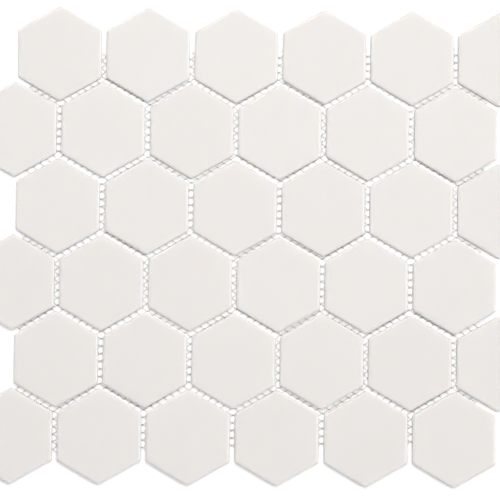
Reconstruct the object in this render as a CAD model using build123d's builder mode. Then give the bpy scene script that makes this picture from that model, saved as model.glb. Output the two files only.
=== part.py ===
"""Mesh-mounted sheet of hexagon glass mosaic tiles, lying face up with its net on the floor.

Millimetres. +Z is up out of the tile faces, +X runs along the rows and +Y across them.
The origin is on the floor under the middle of the sheet.
"""

import math
import os

from build123d import *

# Tile: a pressed hexagon with two flats facing left and right
TILE_ACROSS_FLATS = 51.0
TILE_THICKNESS = 5.0
CORNER_CUT = 0.8
EDGE_RADIUS = 2.0

# Sheet: rows of tiles, every second row set back by half a pitch
ROWS = 6
COLUMNS = 6
JOINT_WIDTH = 3.0

# Backing net: diamond meshes between flat yarns that rise and flat yarns that fall to the right, pulled askew
YARN_WIDTH = 0.8
YARN_THICKNESS = 0.25
MESH_WIDTH = 7.82
MESH_HEIGHT = 4.61
NET_SKEW = 1.75
NET_MARGIN_X = 32.5
NET_MARGIN_Y = 24.0
NET_OFFSET_X = -2.42
NET_OFFSET_Y = -1.65

# Sizes that follow from the driving dimensions
HEXAGON_SIDES = 6
FLATS_TURN = 180.0 / HEXAGON_SIDES
column_pitch = TILE_ACROSS_FLATS + JOINT_WIDTH
row_pitch = column_pitch * math.cos(math.radians(FLATS_TURN))
row_shift = column_pitch / 4
tile_across_corners = TILE_ACROSS_FLATS / math.cos(math.radians(FLATS_TURN)) - CORNER_CUT
sheet_width = (COLUMNS - 1) * column_pitch + 2 * row_shift + TILE_ACROSS_FLATS
sheet_height = (ROWS - 1) * row_pitch + tile_across_corners
net_width = sheet_width - 2 * NET_MARGIN_X
net_height = sheet_height - 2 * NET_MARGIN_Y
net_diagonal = math.hypot(net_width, net_height)
back_height = 2 * YARN_THICKNESS
along_net = Vector(1, 0).rotate(Axis.Z, NET_SKEW)
across_net = Vector(0, 1).rotate(Axis.Z, -NET_SKEW)
rising_step = (along_net * MESH_WIDTH + across_net * MESH_HEIGHT) / 2
falling_step = (along_net * MESH_WIDTH - across_net * MESH_HEIGHT) / 2
mesh_area = rising_step.cross(falling_step).length

os.makedirs("parts", exist_ok=True)


def tile_center(row, column):
    """Middle of a tile in plan, counting rows from the far edge and columns from the left."""
    shift = row_shift if row % 2 == 0 else -row_shift
    x = (column - (COLUMNS - 1) / 2) * column_pitch + shift
    y = ((ROWS - 1) / 2 - row) * row_pitch
    return x, y


def yarn_layout(step):
    """Angle, spacing and number of the yarns that run along a step, short of the net's bare corners."""
    angle = math.degrees(math.atan2(step.Y, step.X))
    pitch = mesh_area / step.length
    to_side = step.normalized().cross(along_net).length * net_width / 2
    to_end = step.normalized().cross(across_net).length * net_height / 2
    a_side = math.floor((to_side + to_end) / pitch - 1)
    return angle, pitch, 2 * a_side + 1


# Corners of the net, from its middle
half_along = along_net * net_width / 2
half_across = across_net * net_height / 2
net_corners = [
    -half_along - half_across,
    half_along - half_across,
    half_along + half_across,
    half_across - half_along,
]

# Falling yarns: the lower layer, on the floor, cut off along the edges of the net
net_plane = Plane((NET_OFFSET_X, NET_OFFSET_Y, 0))
angle, pitch, count = yarn_layout(falling_step)
with BuildPart() as net_falling_yarns:
    with BuildSketch(net_plane):
        with Locations(Location((0, 0, 0), (0, 0, angle))):
            with GridLocations(net_diagonal, pitch, 1, count):
                Rectangle(net_diagonal, YARN_WIDTH)
        Polygon(*net_corners, mode=Mode.INTERSECT)
    extrude(amount=YARN_THICKNESS)
net_falling_yarns.part.label = "net_falling_yarns"
export_step(net_falling_yarns.part, "parts/net_falling_yarns.step")

# Rising yarns: the upper layer, against the backs of the tiles
angle, pitch, count = yarn_layout(rising_step)
with BuildPart() as net_rising_yarns:
    with BuildSketch(net_plane.offset(YARN_THICKNESS)):
        with Locations(Location((0, 0, 0), (0, 0, angle))):
            with GridLocations(net_diagonal, pitch, 1, count):
                Rectangle(net_diagonal, YARN_WIDTH)
        Polygon(*net_corners, mode=Mode.INTERSECT)
    extrude(amount=YARN_THICKNESS)
net_rising_yarns.part.label = "net_rising_yarns"
export_step(net_rising_yarns.part, "parts/net_rising_yarns.step")

# Tiles: a hexagon with its corners taken off, as thick as the glass, with a rounded rim to its face
for row in range(ROWS):
    for column in range(COLUMNS):
        with BuildPart() as hex_tile:
            with BuildSketch(Plane((*tile_center(row, column), back_height))) as outline:
                RegularPolygon(TILE_ACROSS_FLATS / 2, HEXAGON_SIDES, major_radius=False, rotation=FLATS_TURN)
                chamfer(outline.vertices(), length=CORNER_CUT)
            extrude(amount=TILE_THICKNESS)
            rim = hex_tile.faces().sort_by(Axis.Z)[-1].edges()
            fillet(rim, radius=EDGE_RADIUS)
        name = f"hex_tile_r{row + 1}_c{column + 1}"
        hex_tile.part.label = name
        export_step(hex_tile.part, f"parts/{name}.step")
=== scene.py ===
"""Looks of a mesh-mounted sheet of hexagon glass mosaic tiles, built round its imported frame.

Lengths are in metres and angles in radians unless a name says otherwise.
"""

import math
import random

import bmesh
import bpy
from bpy.props import FloatProperty, FloatVectorProperty, IntProperty, PointerProperty
from mathutils import Matrix, Vector


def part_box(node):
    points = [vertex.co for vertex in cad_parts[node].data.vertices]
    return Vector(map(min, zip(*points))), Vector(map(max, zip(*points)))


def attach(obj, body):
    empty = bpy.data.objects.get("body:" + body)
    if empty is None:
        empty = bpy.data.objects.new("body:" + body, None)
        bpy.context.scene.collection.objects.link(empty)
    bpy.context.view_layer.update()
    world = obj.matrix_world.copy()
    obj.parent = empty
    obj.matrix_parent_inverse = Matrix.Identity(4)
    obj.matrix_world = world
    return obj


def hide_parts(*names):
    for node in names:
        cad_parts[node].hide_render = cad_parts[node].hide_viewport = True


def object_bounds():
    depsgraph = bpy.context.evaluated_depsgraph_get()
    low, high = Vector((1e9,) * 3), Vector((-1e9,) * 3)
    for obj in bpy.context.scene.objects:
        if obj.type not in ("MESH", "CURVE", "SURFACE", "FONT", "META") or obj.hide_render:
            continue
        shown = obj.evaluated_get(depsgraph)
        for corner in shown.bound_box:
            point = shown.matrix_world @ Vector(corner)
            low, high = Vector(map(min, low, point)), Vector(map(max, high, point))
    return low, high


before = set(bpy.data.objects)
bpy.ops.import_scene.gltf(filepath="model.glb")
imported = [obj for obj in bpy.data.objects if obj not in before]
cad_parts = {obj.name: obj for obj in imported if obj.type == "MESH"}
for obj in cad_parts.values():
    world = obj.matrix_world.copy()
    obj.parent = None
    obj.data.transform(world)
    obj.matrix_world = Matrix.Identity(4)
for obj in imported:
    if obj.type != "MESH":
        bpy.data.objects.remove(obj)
cad_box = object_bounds()

bl_info = {
    "name": "Hexagon Mosaic Sheet",
    "version": (1, 0, 0),
    "blender": (4, 5, 0),
    "location": "View3D > Sidebar > Mosaic",
    "description": "Presses opal glass hexagons and weaves the net that holds them in a sheet",
    "category": "Object",
}

MM = 0.001
TILE_NODES = sorted(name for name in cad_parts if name.startswith("hex_tile_"))
FALLING_NODE = "net_falling_yarns"
RISING_NODE = "net_rising_yarns"
BODY = "root"
HEXAGON_SIDES = 6
SIDE_ANGLE = 2 * math.pi / HEXAGON_SIDES
SENSOR_MILLIMETRES = 36.0

tile_low, tile_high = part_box(TILE_NODES[0])
net_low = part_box(FALLING_NODE)[0]
net_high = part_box(RISING_NODE)[1]


def linear(hex_colour):
    """Linear red, green and blue of an sRGB hex colour."""
    channels = (int(hex_colour[i:i + 2], 16) / 255 for i in (1, 3, 5))
    return tuple(c / 12.92 if c <= 0.04045 else ((c + 0.055) / 1.055) ** 2.4 for c in channels)


def add_node(tree, kind, links=None, **settings):
    """Adds a node; links maps an input to a value or to the output that feeds it."""
    node = tree.nodes.new(kind)
    for name, value in settings.items():
        setattr(node, name, value)
    for key, value in (links or {}).items():
        if isinstance(value, bpy.types.NodeSocket):
            tree.links.new(value, node.inputs[key])
        else:
            node.inputs[key].default_value = value
    return node


def new_material(name):
    """An empty node material and its tree."""
    material = bpy.data.materials.new(name)
    material.use_nodes = True
    material.node_tree.nodes.clear()
    return material, material.node_tree


def seen_by_lens(tree):
    """Output that is 1 for rays from the lens, also by way of a mirror or glass, and 0 for light."""
    path = add_node(tree, "ShaderNodeLightPath").outputs
    mirror = add_node(tree, "ShaderNodeMath", {
        0: path["Is Glossy Ray"], 1: path["Is Transmission Ray"]}, operation="MAXIMUM")
    seen = add_node(tree, "ShaderNodeMath", {
        0: path["Is Camera Ray"], 1: mirror.outputs[0]}, operation="MAXIMUM")
    return seen.outputs[0]


class TileSettings(bpy.types.PropertyGroup):
    """One pressed hexagon."""

    corner_radius: FloatProperty(
        name="Corner radius", description="Rounding of the six corners in plan",
        default=2.0 * MM, unit="LENGTH")
    rim_width: FloatProperty(
        name="Rim width", description="How far the rounded rim reaches in over the face",
        default=2.2 * MM, unit="LENGTH")
    rim_depth: FloatProperty(
        name="Rim depth", description="How far the rounded rim reaches down the side",
        default=1.2 * MM, unit="LENGTH")
    rim_fullness: FloatProperty(
        name="Rim fullness", description="Two is a plain ellipse, more is a fuller shoulder",
        default=2.3, min=1.0)
    rim_steps: IntProperty(
        name="Rim steps", description="Facets from the side to the face", default=9)
    corner_steps: IntProperty(
        name="Corner steps", description="Facets round one corner", default=6)
    back_round: FloatProperty(
        name="Back round", description="Small round between side and back",
        default=0.4 * MM, unit="LENGTH")
    back_steps: IntProperty(
        name="Back steps", description="Facets from the back to the side", default=3)
    key_pitch: FloatProperty(
        name="Keying pitch", description="Spacing of the grooves pressed into the back",
        default=4.0 * MM, unit="LENGTH")
    key_depth: FloatProperty(
        name="Keying depth", description="Depth of the grooves pressed into the back",
        default=0.35 * MM, unit="LENGTH")
    lay_slip: FloatProperty(
        name="Lay slip", description="Most that a tile is off its place in the sheet",
        default=0.18 * MM, unit="LENGTH")
    lay_turn: FloatProperty(
        name="Lay turn", description="Most that a tile is turned in its place",
        default=math.radians(0.25), subtype="ANGLE")
    tone_spread: FloatProperty(
        name="Tone spread", description="Most that a tile's clouds are denser or thinner than usual",
        default=0.25)
    seed: IntProperty(name="Seed", description="Fixes the small differences between tiles", default=7)
    glass_colour: FloatVectorProperty(
        name="Glass", description="White opal glass", size=3, subtype="COLOR", default=linear("#F0EDEA"))
    cloud_colour: FloatVectorProperty(
        name="Cloud", description="Denser milky clouds in the glass", size=3, subtype="COLOR",
        default=linear("#EFEBE8"))
    fleck_place: FloatVectorProperty(
        name="Fleck place", description="Middle of a brown fleck in the rim of one tile",
        size=3, subtype="TRANSLATION", default=(138.5 * MM, 93.2 * MM, 2.0 * MM))
    fleck_size: FloatProperty(
        name="Fleck size", description="From the middle of the fleck to where it fades out",
        default=1.6 * MM, unit="LENGTH")
    fleck_colour: FloatVectorProperty(
        name="Fleck", description="Iron in the glass", size=3, subtype="COLOR", default=linear("#8C7866"))


class NetSettings(bpy.types.PropertyGroup):
    """The backing net: diamond meshes between yarns that rise and yarns that fall to the right."""

    net_width: FloatProperty(
        name="Net width", description="Length of the net along the rows", default=283 * MM, unit="LENGTH")
    net_height: FloatProperty(
        name="Net height", description="Length of the net across the rows",
        default=243.9 * MM, unit="LENGTH")
    mesh_width: FloatProperty(
        name="Mesh width", description="From one crossing to the next along the rows",
        default=7.82 * MM, unit="LENGTH")
    mesh_height: FloatProperty(
        name="Mesh height", description="From one crossing to the next across the rows",
        default=4.61 * MM, unit="LENGTH")
    skew: FloatProperty(
        name="Skew", description="Lean of both ways of the net, which is pulled out of square",
        default=math.radians(1.75), subtype="ANGLE")
    yarn_width: FloatProperty(
        name="Yarn width", description="Width of a yarn at a crossing, where it is pressed flat",
        default=0.8 * MM, unit="LENGTH")
    yarn_neck: FloatProperty(
        name="Yarn neck", description="Width between two crossings as a share of that at a crossing",
        default=0.9)
    yarn_share: FloatProperty(
        name="Yarn share", description="Thickness of one yarn as a share of the net's", default=0.42)
    sway: FloatProperty(
        name="Sway", description="How far a yarn bends aside to run along with the other at a crossing",
        default=0.2 * MM, unit="LENGTH")
    wander: FloatProperty(
        name="Wander", description="How far yarns stray from a straight line",
        default=0.35 * MM, unit="LENGTH")
    wander_size: FloatProperty(
        name="Wander size", description="Length over which yarns stray", default=45 * MM, unit="LENGTH")
    yarn_steps: IntProperty(
        name="Yarn steps", description="Straight bits of a yarn between two crossings", default=4)
    yarn_sides: IntProperty(name="Yarn sides", description="Facets round a yarn", default=6)
    yarn_colour: FloatVectorProperty(
        name="Yarn", description="Coated glass fibre", size=3, subtype="COLOR", default=linear("#FDFCF9"))
    # Painted shade in the grooves between the yarn's filaments
    groove_shade_colour: FloatVectorProperty(
        name="Groove", description="Yarn between its filaments", size=3, subtype="COLOR",
        default=linear("#F4F2EE"))
    # Painted shade: a grey spot where two yarns cross and overlap
    crossing_shade_colour: FloatVectorProperty(
        name="Crossing", description="Coating that gathers where two yarns cross", size=3, subtype="COLOR",
        default=linear("#B0AEA7"))


class StageSettings(bpy.types.PropertyGroup):
    """Floor, light and camera."""

    focal_pixels: FloatProperty(
        name="Focal length", description="Focal length in pixels of the square picture", default=2600.0)
    picture_pixels: FloatProperty(
        name="Picture", description="Side of the square picture in pixels", default=500.0)
    distance: FloatProperty(
        name="Distance", description="From the lens to the faces of the tiles",
        default=1.586, unit="LENGTH")
    tilt_x: FloatProperty(
        name="Tilt X", description="Lean of the view about X", default=math.radians(-3.49), subtype="ANGLE")
    tilt_y: FloatProperty(
        name="Tilt Y", description="Lean of the view about Y", default=math.radians(2.0), subtype="ANGLE")
    roll: FloatProperty(
        name="Roll", description="Turn of the view about its own line", default=math.radians(-0.71),
        subtype="ANGLE")
    offset: FloatVectorProperty(
        name="Offset", description="Where the sheet's middle lies, right and up from the picture's middle",
        size=2, default=(4.1 * MM, 2.4 * MM), subtype="TRANSLATION")
    key_level: FloatProperty(
        name="Key level", description="Share of white that the overhead softbox lights the sheet to",
        default=0.425)
    key_size: FloatProperty(
        name="Key size", description="Side of the overhead softbox", default=0.42, unit="LENGTH")
    key_distance: FloatProperty(
        name="Key distance", description="From the overhead softbox to the sheet",
        default=1.2, unit="LENGTH")
    key_height: FloatProperty(
        name="Key height", description="Angle of the overhead softbox above the floor",
        default=math.radians(75), subtype="ANGLE")
    key_bearing: FloatProperty(
        name="Key bearing", description="Direction of the overhead softbox in plan, from +X towards +Y",
        default=math.radians(85), subtype="ANGLE")
    side_level: FloatProperty(
        name="Side level", description="Share of white that the side softbox lights the sheet to",
        default=0.23)
    side_size: FloatProperty(
        name="Side size", description="Side of the side softbox", default=3.0, unit="LENGTH")
    side_distance: FloatProperty(
        name="Side distance", description="From the side softbox to the sheet", default=5.0, unit="LENGTH")
    side_height: FloatProperty(
        name="Side height", description="Angle of the side softbox above the floor",
        default=math.radians(40), subtype="ANGLE")
    side_bearing: FloatProperty(
        name="Side bearing", description="Direction of the side softbox in plan, from +X towards +Y",
        default=math.radians(-5), subtype="ANGLE")
    fill_level: FloatProperty(
        name="Fill level", description="Share of white that the fill softbox lights the sheet to",
        default=0.14)
    fill_bearing: FloatProperty(
        name="Fill bearing", description="Direction of the fill softbox in plan, from +X towards +Y",
        default=math.radians(132), subtype="ANGLE")
    ambient: FloatProperty(name="Ambient", description="Level of the white surround", default=0.25)
    floor_colour: FloatVectorProperty(
        name="Floor", description="White studio floor", size=3, subtype="COLOR", default=linear("#F5F5F5"))
    floor_glow: FloatProperty(
        name="Floor glow", description="White that the floor shows to the lens besides its lit colour",
        default=0.38)
    floor_size: FloatProperty(
        name="Floor size", description="Side of the floor", default=6.0, unit="LENGTH")


def opal_glass(settings):
    """White opal glass, pressed in a mould: even milky white, satin face, glossier rim, dull sides."""
    material, tree = new_material("opal_glass_pressed")
    place = add_node(tree, "ShaderNodeTexCoord").outputs["Object"]
    tone = add_node(tree, "ShaderNodeAttribute", attribute_name="tile_tone").outputs["Fac"]
    zone = add_node(tree, "ShaderNodeAttribute", attribute_name="pressed_zone").outputs["Fac"]

    # Milky clouds, and a slow drift from tile to tile
    cloud_size = 15 * MM
    cloud = add_node(tree, "ShaderNodeTexNoise", {
        "Vector": place, "Scale": 1 / cloud_size, "Detail": 3.0, "Roughness": 0.55})
    drift = add_node(tree, "ShaderNodeMath", {0: cloud.outputs["Fac"], 1: tone}, operation="ADD")
    spread = add_node(tree, "ShaderNodeMapRange", {
        "Value": drift.outputs[0], "From Min": 0.1, "From Max": 0.9})
    colour = add_node(tree, "ShaderNodeMix", {
        "Factor": spread.outputs["Result"], 6: (*settings.glass_colour, 1), 7: (*settings.cloud_colour, 1)},
        data_type="RGBA")

    # Brown fleck of iron in one rim, even in its core and fading out round it
    fleck_core = 0.3
    fleck_depth = 0.8
    apart = add_node(tree, "ShaderNodeVectorMath", {
        0: place, 1: settings.fleck_place}, operation="DISTANCE")
    stain = add_node(tree, "ShaderNodeMapRange", {
        "Value": apart.outputs["Value"], "From Min": fleck_core * settings.fleck_size,
        "From Max": settings.fleck_size, "To Min": fleck_depth, "To Max": 0.0})
    stained = add_node(tree, "ShaderNodeMix", {
        "Factor": stain.outputs["Result"], 6: colour.outputs[2], 7: (*settings.fleck_colour, 1)},
        data_type="RGBA")

    # Satin of the face, broken up by a fine mottle; a glossier rim, then dull sides and back
    mottle_size = 2 * MM
    mottle = add_node(tree, "ShaderNodeTexNoise", {
        "Vector": place, "Scale": 1 / mottle_size, "Detail": 2.0, "Roughness": 0.5})
    satin = add_node(tree, "ShaderNodeMapRange", {
        "Value": mottle.outputs["Fac"], "From Min": 0.25, "From Max": 0.75, "To Min": 0.3, "To Max": 0.4})
    rim = add_node(tree, "ShaderNodeMath", {0: zone, 1: 0.5}, operation="PINGPONG")
    polish = add_node(tree, "ShaderNodeMath", {0: rim.outputs[0], 1: -0.4}, operation="MULTIPLY")
    dulling = add_node(tree, "ShaderNodeMapRange", {
        "Value": zone, "From Min": 0.75, "From Max": 1.0, "To Min": 0.0, "To Max": 0.4})
    change = add_node(tree, "ShaderNodeMath", {
        0: polish.outputs[0], 1: dulling.outputs["Result"]}, operation="ADD")
    roughness = add_node(tree, "ShaderNodeMath", {
        0: satin.outputs["Result"], 1: change.outputs[0]}, operation="ADD", use_clamp=True)

    # Faint ripple of the mould
    ripple_size = 1 * MM
    ripple = add_node(tree, "ShaderNodeTexNoise", {
        "Vector": place, "Scale": 1 / ripple_size, "Detail": 2.0, "Roughness": 0.5})
    bump = add_node(tree, "ShaderNodeBump", {
        "Height": ripple.outputs["Fac"], "Strength": 0.35, "Distance": 0.012 * MM})

    shader = add_node(tree, "ShaderNodeBsdfPrincipled", {
        "Base Color": stained.outputs[2], "Roughness": roughness.outputs[0],
        "Normal": bump.outputs["Normal"], "IOR": 1.5,
        "Subsurface Weight": 1.0, "Subsurface Radius": (1.0, 0.9, 0.8), "Subsurface Scale": 3.0 * MM})
    add_node(tree, "ShaderNodeOutputMaterial", {"Surface": shader.outputs["BSDF"]})
    return material


def coated_fibre(settings):
    """Glass fibre yarn, twisted and dipped: near white, with painted shade in the grooves between filaments
    and a painted grey shade spot at each crossing.
    """
    material, tree = new_material("glass_fibre_coated")
    place = add_node(tree, "ShaderNodeTexCoord").outputs["Object"]
    around = add_node(tree, "ShaderNodeAttribute", attribute_name="yarn_around").outputs["Fac"]
    along = add_node(tree, "ShaderNodeAttribute", attribute_name="yarn_along").outputs["Fac"]
    swell = add_node(tree, "ShaderNodeAttribute", attribute_name="yarn_swell").outputs["Fac"]

    # Filaments that wind round the yarn, fewer and coarser than the real ones so that they show; painted
    # shade darkens the grooves between them
    twist_length = 12 * MM
    filaments = 9
    climb = add_node(tree, "ShaderNodeMath", {0: along, 1: 1 / twist_length}, operation="MULTIPLY")
    turn = add_node(tree, "ShaderNodeMath", {0: around, 1: climb.outputs[0]}, operation="ADD")
    lay = add_node(tree, "ShaderNodeMath", {
        0: turn.outputs[0], 1: 2 * math.pi * filaments}, operation="MULTIPLY")
    wave = add_node(tree, "ShaderNodeMath", {0: lay.outputs[0]}, operation="SINE")
    ridge = add_node(tree, "ShaderNodeMapRange", {
        "Value": wave.outputs[0], "From Min": -1.0, "From Max": 1.0})

    # Coating that lies thick and thin, which varies the roughness and how deep the painted groove shade
    # goes; a small painted grey shade spot at each crossing, where the two yarns overlap
    coat_size = 3 * MM
    shade_spot_share = 0.3
    coat = add_node(tree, "ShaderNodeTexNoise", {
        "Vector": place, "Scale": 1 / coat_size, "Detail": 2.0})
    shade = add_node(tree, "ShaderNodeMath", {
        0: ridge.outputs["Result"], 1: coat.outputs["Fac"]}, operation="MULTIPLY")
    crossing_shade_mask = add_node(tree, "ShaderNodeMapRange", {
        "Value": swell, "From Min": 1 - shade_spot_share * (1 - settings.yarn_neck), "From Max": 1.0})
    twisted = add_node(tree, "ShaderNodeMix", {
        "Factor": shade.outputs[0], 6: (*settings.yarn_colour, 1), 7: (*settings.groove_shade_colour, 1)},
        data_type="RGBA")
    colour = add_node(tree, "ShaderNodeMix", {
        "Factor": crossing_shade_mask.outputs["Result"], 6: twisted.outputs[2], 7: (*settings.crossing_shade_colour, 1)},
        data_type="RGBA")
    roughness = add_node(tree, "ShaderNodeMapRange", {
        "Value": coat.outputs["Fac"], "To Min": 0.5, "To Max": 0.8})
    bump = add_node(tree, "ShaderNodeBump", {
        "Height": ridge.outputs["Result"], "Strength": 0.6, "Distance": 0.03 * MM})
    shader = add_node(tree, "ShaderNodeBsdfPrincipled", {
        "Base Color": colour.outputs[2], "Roughness": roughness.outputs["Result"],
        "Normal": bump.outputs["Normal"], "IOR": 1.52, "Coat Weight": 1.0, "Coat Roughness": 0.25})
    add_node(tree, "ShaderNodeOutputMaterial", {"Surface": shader.outputs["BSDF"]})
    return material


def hexagon_ring(apothem, radius, steps):
    """Plan points of a hexagon with rounded corners, a corner pointing to +Y, anticlockwise."""
    points = []
    reach = (apothem - radius) / math.cos(SIDE_ANGLE / 2)
    for corner in range(HEXAGON_SIDES):
        bearing = math.pi / 2 + corner * SIDE_ANGLE
        middle = Vector((math.cos(bearing), math.sin(bearing))) * reach
        for step in range(steps + 1):
            angle = bearing + SIDE_ANGLE * (step / steps - 0.5)
            points.append(middle + Vector((math.cos(angle), math.sin(angle))) * radius)
    return points


def tile_section(settings, thickness):
    """Inset from the outline, height and zone of each ring, from the back edge up to the face."""
    section = []
    for step in range(settings.back_steps + 1):
        angle = math.pi / 2 * step / settings.back_steps
        inset = settings.back_round * (1 - math.sin(angle))
        height = settings.back_round * (1 - math.cos(angle))
        section.append((inset, height, 2 - step / settings.back_steps))
    power = 2 / settings.rim_fullness
    for step in range(settings.rim_steps + 1):
        angle = math.pi / 2 * step / settings.rim_steps
        inset = settings.rim_width * (1 - math.cos(angle) ** power)
        height = thickness - settings.rim_depth * (1 - math.sin(angle) ** power)
        section.append((inset, height, 1 - step / settings.rim_steps))
    section.append((settings.rim_width + settings.back_round, thickness, 0.0))
    return section


def key_back(bm, back, settings, reach):
    """Presses parallel grooves into the flat back."""
    width = settings.key_pitch / 2
    count = math.floor(reach / width)
    strips = [back]
    for i in range(-count, count + 1):
        geometry = strips + [e for f in strips for e in f.edges] + [v for f in strips for v in f.verts]
        cut = bmesh.ops.bisect_plane(
            bm, geom=list(dict.fromkeys(geometry)), plane_co=(i * width, 0, 0), plane_no=(1, 0, 0))
        strips = [f for f in cut["geom"] if isinstance(f, bmesh.types.BMFace)]
    strips.sort(key=lambda f: f.calc_center_median().x)
    grooves = strips[1:-1:2]
    for groove in grooves:
        bmesh.ops.inset_individual(
            bm, faces=[groove], thickness=settings.key_depth, depth=-settings.key_depth)


def press_tile(settings, across, thickness):
    """Mesh of one tile, centred on its back."""
    bm = bmesh.new()
    zone_layer = bm.verts.layers.float.new("pressed_zone")
    rings = []
    for inset, height, zone in tile_section(settings, thickness):
        ring = []
        for point in hexagon_ring(across / 2 - inset, settings.corner_radius, settings.corner_steps):
            vertex = bm.verts.new((point.x, point.y, height))
            vertex[zone_layer] = zone
            ring.append(vertex)
        rings.append(ring)
    for lower, upper in zip(rings, rings[1:]):
        for i in range(len(lower)):
            j = (i + 1) % len(lower)
            bm.faces.new((lower[i], lower[j], upper[j], upper[i])).smooth = True
    bm.faces.new(rings[-1]).smooth = True
    back = bm.faces.new(tuple(reversed(rings[0])))
    key_back(bm, back, settings, across / 2)
    mesh = bpy.data.meshes.new("opal_hexagon")
    bm.to_mesh(mesh)
    bm.free()
    return mesh


def keep_inside(mesh, box):
    """Moves a mesh in plan so that it stands nowhere past the CAD model's box."""
    low, high = box
    shift = Vector((0, 0, 0))
    for axis in (0, 1):
        places = [vertex.co[axis] for vertex in mesh.vertices]
        shift[axis] = max(low[axis] - min(places), 0) + min(high[axis] - max(places), 0)
    mesh.transform(Matrix.Translation(shift))


class MOSAIC_OT_press_tiles(bpy.types.Operator):
    """Press the glass hexagons and lay them in their rows"""

    bl_idname = "mosaic.press_tiles"
    bl_label = "Press Tiles"

    def execute(self, context):
        if not TILE_NODES:
            raise RuntimeError("The frame holds no tiles")
        settings = context.scene.mosaic_tiles
        draw = random.Random(settings.seed)
        glass = opal_glass(settings)
        blank = press_tile(settings, tile_high.x - tile_low.x, tile_high.z - tile_low.z)
        for node in TILE_NODES:
            low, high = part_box(node)
            slip = Vector((draw.uniform(-1, 1), draw.uniform(-1, 1), 0)) * settings.lay_slip
            turn = draw.uniform(-1, 1) * settings.lay_turn + draw.randrange(HEXAGON_SIDES) * SIDE_ANGLE
            centre = Vector(((low.x + high.x) / 2, (low.y + high.y) / 2, low.z))
            mesh = blank.copy()
            mesh.name = node.replace("hex_tile", "opal_hexagon")
            mesh.transform(Matrix.Translation(centre + slip) @ Matrix.Rotation(turn, 4, "Z"))
            keep_inside(mesh, cad_box)
            tone = mesh.attributes.new("tile_tone", "FLOAT", "POINT")
            level = draw.uniform(-settings.tone_spread, settings.tone_spread)
            tone.data.foreach_set("value", [level] * len(mesh.vertices))
            mesh.materials.append(glass)
            tile = bpy.data.objects.new(mesh.name, mesh)
            context.scene.collection.objects.link(tile)
            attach(tile, BODY)
            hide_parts(node)
        bpy.data.meshes.remove(blank)
        return {"FINISHED"}


def new_net_tree(name, sizes):
    """A node tree with a geometry output and one named input for each size."""
    tree = bpy.data.node_groups.new(name, "GeometryNodeTree")
    tree.interface.new_socket("Geometry", in_out="OUTPUT", socket_type="NodeSocketGeometry")
    kinds = {int: "NodeSocketInt", float: "NodeSocketFloat", Vector: "NodeSocketVector",
             bpy.types.Material: "NodeSocketMaterial"}
    for label, value in sizes.items():
        tree.interface.new_socket(label, in_out="INPUT", socket_type=kinds[type(value)])
    return tree


def wave_and_wander(tree, curves, given):
    """Cuts the yarns off at the net's edges and lets them pass over and under one another and stray."""
    position = add_node(tree, "GeometryNodeInputPosition").outputs[0]
    outside = []
    for axis, half in (("Along Axis", "Half Width"), ("Across Axis", "Half Height")):
        place = add_node(tree, "ShaderNodeVectorMath", {
            0: position, 1: given[axis]}, operation="DOT_PRODUCT")
        away = add_node(tree, "ShaderNodeMath", {0: place.outputs["Value"]}, operation="ABSOLUTE")
        outside.append(add_node(tree, "ShaderNodeMath", {
            0: away.outputs[0], 1: given[half]}, operation="GREATER_THAN").outputs[0])
    beyond = add_node(tree, "ShaderNodeMath", {0: outside[0], 1: outside[1]}, operation="MAXIMUM")
    trimmed = add_node(tree, "GeometryNodeDeleteGeometry", {
        "Geometry": curves, "Selection": beyond.outputs[0]}, domain="POINT")

    # Over one crossing and under the next, which lies half a mesh further along the rows
    along = add_node(tree, "ShaderNodeVectorMath", {
        0: position, 1: given["Along Axis"]}, operation="DOT_PRODUCT")
    meshes = add_node(tree, "ShaderNodeMath", {
        0: along.outputs["Value"], 1: given["Mesh Width"]}, operation="DIVIDE")
    phase = add_node(tree, "ShaderNodeMath", {0: meshes.outputs[0], 1: 2 * math.pi}, operation="MULTIPLY")
    wave = add_node(tree, "ShaderNodeMath", {0: phase.outputs[0]}, operation="COSINE")
    lift = add_node(tree, "ShaderNodeMath", {0: wave.outputs[0], 1: given["Lift"]}, operation="MULTIPLY")

    # Pressed flat and wide at a crossing, a little narrower between two
    near = add_node(tree, "ShaderNodeMath", {0: wave.outputs[0], 1: wave.outputs[0]}, operation="MULTIPLY")
    swell = add_node(tree, "ShaderNodeMapRange", {"Value": near.outputs[0], "To Min": given["Neck"]})
    swollen = add_node(tree, "GeometryNodeStoreNamedAttribute", {
        "Geometry": trimmed.outputs[0], "Name": "yarn_swell", "Value": swell.outputs["Result"]},
        data_type="FLOAT", domain="POINT")

    # Level at a crossing, where the two yarns run together, and steeper between
    double = add_node(tree, "ShaderNodeMath", {0: phase.outputs[0], 1: 2.0}, operation="MULTIPLY")
    bend = add_node(tree, "ShaderNodeMath", {0: double.outputs[0]}, operation="SINE")
    aside = add_node(tree, "ShaderNodeMath", {0: bend.outputs[0], 1: given["Sway"]}, operation="MULTIPLY")
    swayed = add_node(tree, "ShaderNodeCombineXYZ", {"Y": aside.outputs[0], "Z": lift.outputs[0]})

    # Slow stray in plan
    often = add_node(tree, "ShaderNodeMath", {0: 1.0, 1: given["Wander Size"]}, operation="DIVIDE")
    field = add_node(tree, "ShaderNodeTexNoise", {
        "Vector": position, "Scale": often.outputs[0], "Detail": 1.0})
    centred = add_node(tree, "ShaderNodeVectorMath", {
        0: field.outputs["Color"], 1: (0.5, 0.5, 0.5)}, operation="SUBTRACT")
    level = add_node(tree, "ShaderNodeVectorMath", {
        0: centred.outputs[0], 1: (2.0, 2.0, 0.0)}, operation="MULTIPLY")
    stray = add_node(tree, "ShaderNodeVectorMath", {
        0: level.outputs[0], "Scale": given["Wander"]}, operation="SCALE")
    offset = add_node(tree, "ShaderNodeVectorMath", {
        0: swayed.outputs[0], 1: stray.outputs[0]}, operation="ADD")
    moved = add_node(tree, "GeometryNodeSetPosition", {
        "Geometry": swollen.outputs[0], "Offset": offset.outputs[0]})
    return moved.outputs[0]


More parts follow.
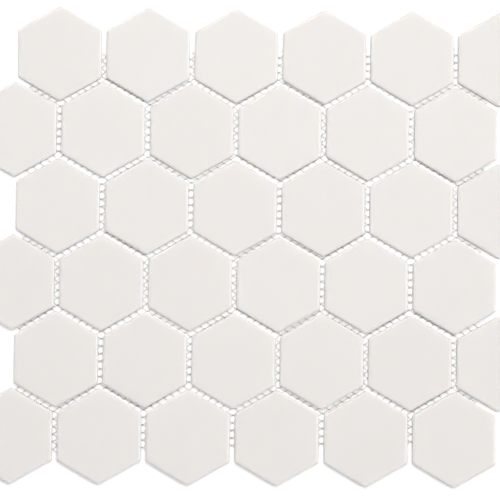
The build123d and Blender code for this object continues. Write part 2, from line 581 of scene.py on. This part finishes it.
def flat_yarns(tree, curves, given):
    """Gives the yarns a flat section and attributes for their filaments, and lays the net in its place."""
    upright = add_node(tree, "GeometryNodeSetCurveNormal", {"Curve": curves}, mode="Z_UP")
    parameter = add_node(tree, "GeometryNodeSplineParameter")
    along = add_node(tree, "GeometryNodeStoreNamedAttribute", {
        "Geometry": upright.outputs[0], "Name": "yarn_along", "Value": parameter.outputs["Length"]},
        data_type="FLOAT", domain="POINT")
    circle = add_node(tree, "GeometryNodeCurvePrimitiveCircle", {
        "Resolution": given["Sides"], "Radius": 0.5})
    flat = add_node(tree, "ShaderNodeCombineXYZ", {"X": given["Width"], "Y": given["Thickness"], "Z": 1.0})
    section = add_node(tree, "GeometryNodeTransform", {
        "Geometry": circle.outputs[0], "Scale": flat.outputs[0]})
    around_parameter = add_node(tree, "GeometryNodeSplineParameter")
    around = add_node(tree, "GeometryNodeStoreNamedAttribute", {
        "Geometry": section.outputs[0], "Name": "yarn_around", "Value": around_parameter.outputs["Factor"]},
        data_type="FLOAT", domain="POINT")
    swell = add_node(tree, "GeometryNodeInputNamedAttribute", {"Name": "yarn_swell"}, data_type="FLOAT")
    yarns = add_node(tree, "GeometryNodeCurveToMesh", {
        "Curve": along.outputs[0], "Profile Curve": around.outputs[0],
        "Scale": swell.outputs["Attribute"], "Fill Caps": True})
    laid = add_node(tree, "GeometryNodeTransform", {
        "Geometry": yarns.outputs[0], "Translation": given["Centre"]})
    smooth = add_node(tree, "GeometryNodeSetShadeSmooth", {"Geometry": laid.outputs[0]})
    real = add_node(tree, "GeometryNodeRealizeInstances", {"Geometry": smooth.outputs[0]})
    finished = add_node(tree, "GeometryNodeSetMaterial", {
        "Geometry": real.outputs[0], "Material": given["Material"]})
    add_node(tree, "NodeGroupOutput", {"Geometry": finished.outputs[0]})


def parallel_lines(tree, given):
    """Straight curves side by side, with a point at each crossing and others evenly between."""
    half = add_node(tree, "ShaderNodeMath", {0: given["Crossings"], 1: 0.5}, operation="MULTIPLY")
    end = add_node(tree, "ShaderNodeVectorMath", {
        0: given["Step"], "Scale": half.outputs[0]}, operation="SCALE")
    start = add_node(tree, "ShaderNodeVectorMath", {0: end.outputs[0], "Scale": -1.0}, operation="SCALE")
    line = add_node(tree, "GeometryNodeCurvePrimitiveLine", {
        "Start": start.outputs[0], "End": end.outputs[0]})
    fine = add_node(tree, "GeometryNodeResampleCurve", {
        "Curve": line.outputs[0], "Count": given["Points"]})
    last = add_node(tree, "ShaderNodeMath", {0: given["Yarns"], 1: 1.0}, operation="SUBTRACT")
    back = add_node(tree, "ShaderNodeMath", {0: last.outputs[0], 1: -0.5}, operation="MULTIPLY")
    first = add_node(tree, "ShaderNodeVectorMath", {
        0: given["Beside"], "Scale": back.outputs[0]}, operation="SCALE")
    places = add_node(tree, "GeometryNodeMeshLine", {
        "Count": given["Yarns"], "Start Location": first.outputs[0], "Offset": given["Beside"]})
    copies = add_node(tree, "GeometryNodeInstanceOnPoints", {
        "Points": places.outputs[0], "Instance": fine.outputs[0]})
    return add_node(tree, "GeometryNodeRealizeInstances", {"Geometry": copies.outputs[0]}).outputs[0]


def yarn_tree(sizes):
    """One layer of the net: parallel yarns that weave through the other layer."""
    tree = new_net_tree("net_yarn_layer", sizes)
    given = add_node(tree, "NodeGroupInput").outputs
    lines = parallel_lines(tree, given)
    flat_yarns(tree, wave_and_wander(tree, lines, given), given)
    return tree


def weave(context, name, tree, sizes):
    """Evaluates a net tree with its sizes and returns a plain mesh object."""
    yarns = bpy.data.objects.new(name, bpy.data.meshes.new(name))
    context.scene.collection.objects.link(yarns)
    modifier = yarns.modifiers.new(name, "NODES")
    modifier.node_group = tree
    for item in tree.interface.items_tree:
        if item.in_out == "INPUT":
            modifier[item.identifier] = sizes[item.name]
    evaluated = yarns.evaluated_get(context.evaluated_depsgraph_get())
    mesh = bpy.data.meshes.new_from_object(evaluated)
    if not mesh.polygons:
        raise RuntimeError(f"{name} came out empty")
    yarns.modifiers.remove(modifier)
    yarns.data = mesh
    mesh.name = name
    return yarns


def layer_sizes(settings, rises):
    """Sizes of one layer of yarns, those that rise or those that fall to the right."""
    along = Vector((math.cos(settings.skew), math.sin(settings.skew), 0))
    across = Vector((math.sin(settings.skew), math.cos(settings.skew), 0))
    square = along.x * across.y - along.y * across.x
    side = 1 if rises else -1
    reach = (settings.net_width / settings.mesh_width + settings.net_height / settings.mesh_height) / 2
    crossings = 2 * math.ceil(reach)
    net_thickness = net_high.z - net_low.z
    thickness = net_thickness * settings.yarn_share
    return {
        "Step": (along * settings.mesh_width + across * settings.mesh_height * side) / 2,
        "Beside": (along * settings.mesh_width - across * settings.mesh_height * side) / 2,
        "Crossings": crossings,
        "Points": crossings * settings.yarn_steps + 1,
        "Yarns": 2 * math.floor(reach - 1) + 1,
        "Along Axis": Vector((across.y, -across.x, 0)) / square,
        "Across Axis": Vector((-along.y, along.x, 0)) / square,
        "Half Width": settings.net_width / 2,
        "Half Height": settings.net_height / 2,
        "Mesh Width": settings.mesh_width,
        "Lift": side * (net_thickness - thickness) / 2,
        "Width": settings.yarn_width,
        "Neck": settings.yarn_neck,
        "Thickness": thickness,
        "Sides": settings.yarn_sides,
        "Sway": -side * settings.sway,
        "Wander": settings.wander,
        "Wander Size": settings.wander_size,
        "Centre": (net_low + net_high) / 2,
    }


class MOSAIC_OT_weave_net(bpy.types.Operator):
    """Weave the backing net from yarns that rise and yarns that fall to the right"""

    bl_idname = "mosaic.weave_net"
    bl_label = "Weave Net"

    def execute(self, context):
        settings = context.scene.mosaic_net
        fibre = coated_fibre(settings)
        layers = {"net_yarns_rising": (RISING_NODE, True), "net_yarns_falling": (FALLING_NODE, False)}
        for name, (node, rises) in layers.items():
            sizes = layer_sizes(settings, rises) | {"Material": fibre}
            yarns = weave(context, name, yarn_tree(sizes), sizes)
            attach(yarns, BODY)
            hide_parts(node)
        return {"FINISHED"}


def studio_floor(settings):
    """White painted studio floor: matt, shown to the lens as an overexposed white that keeps shadows."""
    material, tree = new_material("studio_floor_white")
    glow = add_node(tree, "ShaderNodeMath", {
        0: seen_by_lens(tree), 1: settings.floor_glow}, operation="MULTIPLY")
    light = add_node(tree, "ShaderNodeEmission", {"Strength": glow.outputs[0]})
    matt = add_node(tree, "ShaderNodeBsdfDiffuse", {"Color": (*settings.floor_colour, 1)})
    both = add_node(tree, "ShaderNodeAddShader", {0: light.outputs[0], 1: matt.outputs[0]})
    add_node(tree, "ShaderNodeOutputMaterial", {"Surface": both.outputs[0]})
    return material


def studio_world(settings):
    """White surround: plain light on the sheet, full white to the lens."""
    world = bpy.data.worlds.new("studio_surround")
    world.use_nodes = True
    tree = world.node_tree
    tree.nodes.clear()
    level = add_node(tree, "ShaderNodeMapRange", {
        "Value": seen_by_lens(tree), "To Min": settings.ambient, "To Max": 1.0})
    light = add_node(tree, "ShaderNodeBackground", {
        "Color": (1, 1, 1, 1), "Strength": level.outputs["Result"]})
    add_node(tree, "ShaderNodeOutputWorld", {"Surface": light.outputs[0]})
    return world


def add_camera(context, settings):
    """Camera at the picture's view, nearly straight down on the faces."""
    data = bpy.data.cameras.new("picture_view")
    data.sensor_width = SENSOR_MILLIMETRES
    data.lens = settings.focal_pixels / settings.picture_pixels * data.sensor_width
    turn = (Matrix.Rotation(settings.roll, 3, "Z") @ Matrix.Rotation(settings.tilt_y, 3, "Y")
            @ Matrix.Rotation(settings.tilt_x, 3, "X")).transposed()
    away = turn @ Vector((settings.offset[0], settings.offset[1], -settings.distance))
    camera = bpy.data.objects.new("picture_view", data)
    camera.matrix_world = Matrix.Translation(Vector((0, 0, tile_high.z)) - away) @ turn.to_4x4()
    context.scene.collection.objects.link(camera)
    context.scene.camera = camera


def add_softbox(context, name, level, size, distance, height, bearing, mirrored):
    """Square area lamp that faces the middle of the sheet and lights it to a share of white."""
    data = bpy.data.lights.new(name, "AREA")
    data.energy = level * (math.pi * distance) ** 2 / math.sin(height)
    data.size = size
    direction = Vector((
        math.cos(height) * math.cos(bearing), math.cos(height) * math.sin(bearing), math.sin(height)))
    turn = direction.to_track_quat("Z", "Y").to_matrix().to_4x4()
    lamp = bpy.data.objects.new(name, data)
    lamp.matrix_world = Matrix.Translation(direction * distance) @ turn
    lamp.visible_glossy = mirrored
    context.scene.collection.objects.link(lamp)


class MOSAIC_OT_set_stage(bpy.types.Operator):
    """Set the floor, the lights and the camera"""

    bl_idname = "mosaic.set_stage"
    bl_label = "Set Stage"

    def execute(self, context):
        settings = context.scene.mosaic_stage
        half = settings.floor_size / 2
        mesh = bpy.data.meshes.new("studio_floor")
        corners = [(-half, -half, 0), (half, -half, 0), (half, half, 0), (-half, half, 0)]
        mesh.from_pydata(corners, [], [(0, 1, 2, 3)])
        mesh.materials.append(studio_floor(settings))
        floor = bpy.data.objects.new("studio_floor", mesh)
        context.scene.collection.objects.link(floor)
        context.scene.world = studio_world(settings)
        add_softbox(
            context, "overhead_softbox", settings.key_level, settings.key_size,
            settings.key_distance, settings.key_height, settings.key_bearing, mirrored=False)
        add_softbox(
            context, "side_softbox", settings.side_level, settings.side_size,
            settings.side_distance, settings.side_height, settings.side_bearing, mirrored=True)
        add_softbox(
            context, "fill_softbox", settings.fill_level, settings.side_size,
            settings.side_distance, settings.side_height, settings.fill_bearing, mirrored=True)
        add_camera(context, settings)
        context.scene.view_settings.view_transform = "Standard"
        return {"FINISHED"}


class MOSAIC_PT_sheet(bpy.types.Panel):
    """Sizes, colours and steps of the mosaic sheet"""

    bl_label = "Mosaic Sheet"
    bl_idname = "MOSAIC_PT_sheet"
    bl_space_type = "VIEW_3D"
    bl_region_type = "UI"
    bl_category = "Mosaic"

    def draw(self, context):
        steps = (
            ("mosaic_tiles", "mosaic.press_tiles"),
            ("mosaic_net", "mosaic.weave_net"),
            ("mosaic_stage", "mosaic.set_stage"),
        )
        for group_name, operator in steps:
            box = self.layout.box()
            group = getattr(context.scene, group_name)
            for name in group.__annotations__:
                box.prop(group, name)
            box.operator(operator)


CLASSES = (
    TileSettings, NetSettings, StageSettings,
    MOSAIC_OT_press_tiles, MOSAIC_OT_weave_net, MOSAIC_OT_set_stage, MOSAIC_PT_sheet,
)


def register():
    """Adds the operators, the panel and the settings."""
    for cls in CLASSES:
        bpy.utils.register_class(cls)
    bpy.types.Scene.mosaic_tiles = PointerProperty(type=TileSettings)
    bpy.types.Scene.mosaic_net = PointerProperty(type=NetSettings)
    bpy.types.Scene.mosaic_stage = PointerProperty(type=StageSettings)


def unregister():
    """Takes the operators, the panel and the settings away."""
    del bpy.types.Scene.mosaic_stage
    del bpy.types.Scene.mosaic_net
    del bpy.types.Scene.mosaic_tiles
    for cls in reversed(CLASSES):
        bpy.utils.unregister_class(cls)


def main():
    """Builds the sheet and its stage."""
    register()
    bpy.ops.mosaic.press_tiles()
    bpy.ops.mosaic.weave_net()
    bpy.ops.mosaic.set_stage()


if __name__ == "__main__":
    main()
